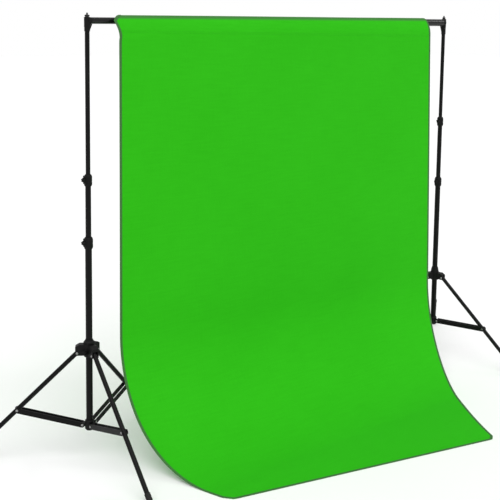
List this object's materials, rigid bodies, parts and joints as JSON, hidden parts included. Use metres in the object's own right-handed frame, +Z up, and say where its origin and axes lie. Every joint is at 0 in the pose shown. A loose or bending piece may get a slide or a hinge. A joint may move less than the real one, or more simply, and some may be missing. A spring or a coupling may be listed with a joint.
{
  "type": "background support system",
  "caption": "Photo backdrop support: folding tripod stands joined by a telescoping crossbar that carries a hung cloth sweeping onto the floor.",
  "frame": {"origin": "on the floor, in the middle of the whole footprint", "axes": "+Z up, X along the crossbar from the left stand to the right one, the cloth sweeps forward towards -Y"},
  "size_m": [2.817, 1.1906, 1.734],
  "materials": {
    "column_tube": "satin black",
    "leg_tube": "satin black",
    "bar_tube": "satin black",
    "strip_metal": "satin black",
    "housing_plastic": "fine moulded grain",
    "knob_plastic": "fine moulded grain",
    "guide_plastic": "smooth",
    "rivet_steel": "dull zinc",
    "stud_metal": "blackened steel",
    "foot_rubber": "matte",
    "cloth": "plain weave, matte"
  },
  "bodies": {
    "left_base": {"left_lower_tube": "column_tube", "left_base_hub": "housing_plastic", "left_hub_rivets": "rivet_steel", "left_lower_lock": "housing_plastic"},
    "left_lower_knob": {"left_lower_knob": "knob_plastic"},
    "left_middle": {"left_middle_tube": "column_tube", "left_middle_bush": "guide_plastic", "left_upper_lock": "housing_plastic"},
    "left_upper_knob": {"left_upper_knob": "knob_plastic"},
    "left_top": {"left_top_tube": "column_tube", "left_top_bush": "guide_plastic", "left_spigot": "stud_metal"},
    "left_nut": {"left_wing_nut": "stud_metal"},
    "left_collar": {"left_leg_collar": "housing_plastic", "left_collar_rivets": "rivet_steel"},
    "left_collar_knob": {"left_collar_knob": "knob_plastic"},
    "left_leg_1": {"left_leg_1": "leg_tube", "left_foot_1": "foot_rubber"},
    "left_strut_1": {"left_strut_1": "strip_metal"},
    "left_leg_2": {"left_leg_2": "leg_tube", "left_foot_2": "foot_rubber"},
    "left_strut_2": {"left_strut_2": "strip_metal"},
    "left_leg_3": {"left_leg_3": "leg_tube", "left_foot_3": "foot_rubber"},
    "left_strut_3": {"left_strut_3": "strip_metal"},
    "right_base": {"right_lower_tube": "column_tube", "right_base_hub": "housing_plastic", "right_hub_rivets": "rivet_steel", "right_lower_lock": "housing_plastic"},
    "right_lower_knob": {"right_lower_knob": "knob_plastic"},
    "right_middle": {"right_middle_tube": "column_tube", "right_middle_bush": "guide_plastic", "right_upper_lock": "housing_plastic"},
    "right_upper_knob": {"right_upper_knob": "knob_plastic"},
    "right_top": {"right_top_tube": "column_tube", "right_top_bush": "guide_plastic", "right_spigot": "stud_metal"},
    "right_nut": {"right_wing_nut": "stud_metal"},
    "right_collar": {"right_leg_collar": "housing_plastic", "right_collar_rivets": "rivet_steel"},
    "right_collar_knob": {"right_collar_knob": "knob_plastic"},
    "right_leg_1": {"right_leg_1": "leg_tube", "right_foot_1": "foot_rubber"},
    "right_strut_1": {"right_strut_1": "strip_metal"},
    "right_leg_2": {"right_leg_2": "leg_tube", "right_foot_2": "foot_rubber"},
    "right_strut_2": {"right_strut_2": "strip_metal"},
    "right_leg_3": {"right_leg_3": "leg_tube", "right_foot_3": "foot_rubber"},
    "right_strut_3": {"right_strut_3": "strip_metal"},
    "bar_left": {"left_bar_fitting": "housing_plastic", "bar_left_section": "bar_tube", "backdrop_cloth": "cloth"},
    "bar_middle": {"bar_middle_section": "bar_tube", "bar_middle_bush": "guide_plastic"},
    "bar_right": {"bar_right_section": "bar_tube", "bar_right_bush": "guide_plastic", "right_bar_fitting": "housing_plastic"}
  },
  "joints": [
    {"name": "left_lower_stage", "type": "slide", "parent": "left_base", "child": "left_middle", "axis": [0, 0, 1], "range_m": [-0.19, 0.3]},
    {"name": "left_upper_stage", "type": "slide", "parent": "left_middle", "child": "left_top", "axis": [0, 0, 1], "range_m": [-0.41, 0.06]},
    {"name": "left_swivel", "type": "hinge", "parent": "left_top", "child": "bar_left", "pos_m": [-0.98608, 0.26273, 1.7], "axis": [0, 0, 1], "range_deg": [-12, 12]},
    {"name": "bar_left_extend", "type": "slide", "parent": "bar_left", "child": "bar_middle", "axis": [1, 0, 0], "range_m": [0, 0.12]},
    {"name": "bar_right_extend", "type": "slide", "parent": "bar_middle", "child": "bar_right", "axis": [1, 0, 0], "range_m": [-0.04, 0.18]},
    {"name": "right_swivel", "type": "hinge", "parent": "bar_right", "child": "right_top", "pos_m": [1.01392, 0.26273, 1.7], "axis": [0, 0, 1], "range_deg": [-12, 12]},
    {"name": "right_upper_stage", "type": "slide", "parent": "right_top", "child": "right_middle", "axis": [0, 0, -1], "range_m": [-0.41, 0.06]},
    {"name": "right_lower_stage", "type": "slide", "parent": "right_middle", "child": "right_base", "axis": [0, 0, -1], "range_m": [-0.19, 0.3]},
    {"name": "left_lower_knob_turn", "type": "hinge", "parent": "left_base", "child": "left_lower_knob", "pos_m": [-1.0054, 0.25756, 0.85703], "axis": [-0.9659, -0.2588, 0], "range_deg": [0, 360]},
    {"name": "left_upper_knob_turn", "type": "hinge", "parent": "left_middle", "child": "left_upper_knob", "pos_m": [-1.0054, 0.25756, 1.10003], "axis": [-0.9659, -0.2588, 0], "range_deg": [0, 360]},
    {"name": "left_nut_turn", "type": "hinge", "parent": "left_top", "child": "left_nut", "pos_m": [-0.98608, 0.26273, 1.7175], "axis": [0, 0, 1], "range_deg": [0, 360]},
    {"name": "left_collar_knob_turn", "type": "hinge", "parent": "left_collar", "child": "left_collar_knob", "pos_m": [-1.00816, 0.251, 0.42603], "axis": [-0.8829, -0.4695, 0], "range_deg": [0, 360]},
    {"name": "left_tripod_fold", "type": "slide", "parent": "left_base", "child": "left_collar", "axis": [0, 0, 1], "range_m": [0, 0.2893]},
    {"name": "left_leg_1_fold", "type": "hinge", "parent": "left_collar", "child": "left_leg_1", "pos_m": [-1.0251, 0.28711, 0.42003], "axis": [-0.5299, -0.848, 0], "range_deg": [0, 45.95]},
    {"name": "left_strut_1_fold", "type": "hinge", "parent": "left_base", "child": "left_strut_1", "pos_m": [-1.00983, 0.27757, 0.13003], "axis": [0.5299, 0.848, 0], "range_deg": [0, 71.17]},
    {"name": "left_leg_2_fold", "type": "hinge", "parent": "left_collar", "child": "left_leg_2", "pos_m": [-0.98769, 0.21676, 0.42003], "axis": [0.9994, -0.0349, 0], "range_deg": [0, 45.95]},
    {"name": "left_strut_2_fold", "type": "hinge", "parent": "left_base", "child": "left_strut_2", "pos_m": [-0.98706, 0.23475, 0.13003], "axis": [-0.9994, 0.0349, 0], "range_deg": [0, 71.17]},
    {"name": "left_leg_3_fold", "type": "hinge", "parent": "left_collar", "child": "left_leg_3", "pos_m": [-0.94547, 0.28433, 0.42003], "axis": [-0.4695, 0.8829, 0], "range_deg": [0, 45.95]},
    {"name": "left_strut_3_fold", "type": "hinge", "parent": "left_base", "child": "left_strut_3", "pos_m": [-0.96136, 0.27588, 0.13003], "axis": [0.4695, -0.8829, 0], "range_deg": [0, 71.17]},
    {"name": "right_lower_knob_turn", "type": "hinge", "parent": "right_base", "child": "right_lower_knob", "pos_m": [0.9946, 0.25756, 0.90013], "axis": [-0.9659, -0.2588, 0], "range_deg": [0, 360]},
    {"name": "right_upper_knob_turn", "type": "hinge", "parent": "right_middle", "child": "right_upper_knob", "pos_m": [0.9946, 0.25756, 1.20813], "axis": [-0.9659, -0.2588, 0], "range_deg": [0, 360]},
    {"name": "right_nut_turn", "type": "hinge", "parent": "right_top", "child": "right_nut", "pos_m": [1.01392, 0.26273, 1.722], "axis": [0, 0, 1], "range_deg": [0, 360]},
    {"name": "right_collar_knob_turn", "type": "hinge", "parent": "right_collar", "child": "right_collar_knob", "pos_m": [1.03741, 0.25418, 0.40963], "axis": [0.9397, -0.342, 0], "range_deg": [0, 360]},
    {"name": "right_tripod_fold", "type": "slide", "parent": "right_base", "child": "right_collar", "axis": [0, 0, 1], "range_m": [0, 0.3488]},
    {"name": "right_leg_1_fold", "type": "hinge", "parent": "right_collar", "child": "right_leg_1", "pos_m": [1.0219, 0.21743, 0.40363], "axis": [0.9848, 0.1736, 0], "range_deg": [0, 48.08]},
    {"name": "right_strut_1_fold", "type": "hinge", "parent": "right_base", "child": "right_strut_1", "pos_m": [1.01878, 0.23516, 0.17313], "axis": [-0.9848, -0.1736, 0], "range_deg": [0, 82.61]},
    {"name": "right_leg_2_fold", "type": "hinge", "parent": "right_collar", "child": "right_leg_2", "pos_m": [1.04915, 0.2923, 0.40363], "axis": [-0.6428, 0.766, 0], "range_deg": [0, 48.08]},
    {"name": "right_strut_2_fold", "type": "hinge", "parent": "right_base", "child": "right_strut_2", "pos_m": [1.03537, 0.28073, 0.17313], "axis": [0.6428, -0.766, 0], "range_deg": [0, 82.61]},
    {"name": "right_leg_3_fold", "type": "hinge", "parent": "right_collar", "child": "right_leg_3", "pos_m": [0.97069, 0.27847, 0.40363], "axis": [-0.342, -0.9397, 0], "range_deg": [0, 48.08]},
    {"name": "right_strut_3_fold", "type": "hinge", "parent": "right_base", "child": "right_strut_3", "pos_m": [0.9876, 0.27231, 0.17313], "axis": [0.342, 0.9397, 0], "range_deg": [0, 82.61]}
  ],
  "couplings": [
    {"joint": "right_upper_stage", "follows": "left_upper_stage", "ratio": 1},
    {"joint": "right_lower_stage", "follows": "left_lower_stage", "ratio": 1},
    {"joint": "left_leg_1_fold", "follows": "left_tripod_fold", "rad_per_m": 2.7709},
    {"joint": "left_strut_1_fold", "follows": "left_tripod_fold", "rad_per_m": 4.2919},
    {"joint": "left_leg_2_fold", "follows": "left_tripod_fold", "rad_per_m": 2.7709},
    {"joint": "left_strut_2_fold", "follows": "left_tripod_fold", "rad_per_m": 4.2919},
    {"joint": "left_leg_3_fold", "follows": "left_tripod_fold", "rad_per_m": 2.7709},
    {"joint": "left_strut_3_fold", "follows": "left_tripod_fold", "rad_per_m": 4.2919},
    {"joint": "right_leg_1_fold", "follows": "right_tripod_fold", "rad_per_m": 2.4047},
    {"joint": "right_strut_1_fold", "follows": "right_tripod_fold", "rad_per_m": 4.1321},
    {"joint": "right_leg_2_fold", "follows": "right_tripod_fold", "rad_per_m": 2.4047},
    {"joint": "right_strut_2_fold", "follows": "right_tripod_fold", "rad_per_m": 4.1321},
    {"joint": "right_leg_3_fold", "follows": "right_tripod_fold", "rad_per_m": 2.4047},
    {"joint": "right_strut_3_fold", "follows": "right_tripod_fold", "rad_per_m": 4.1321}
  ]
}
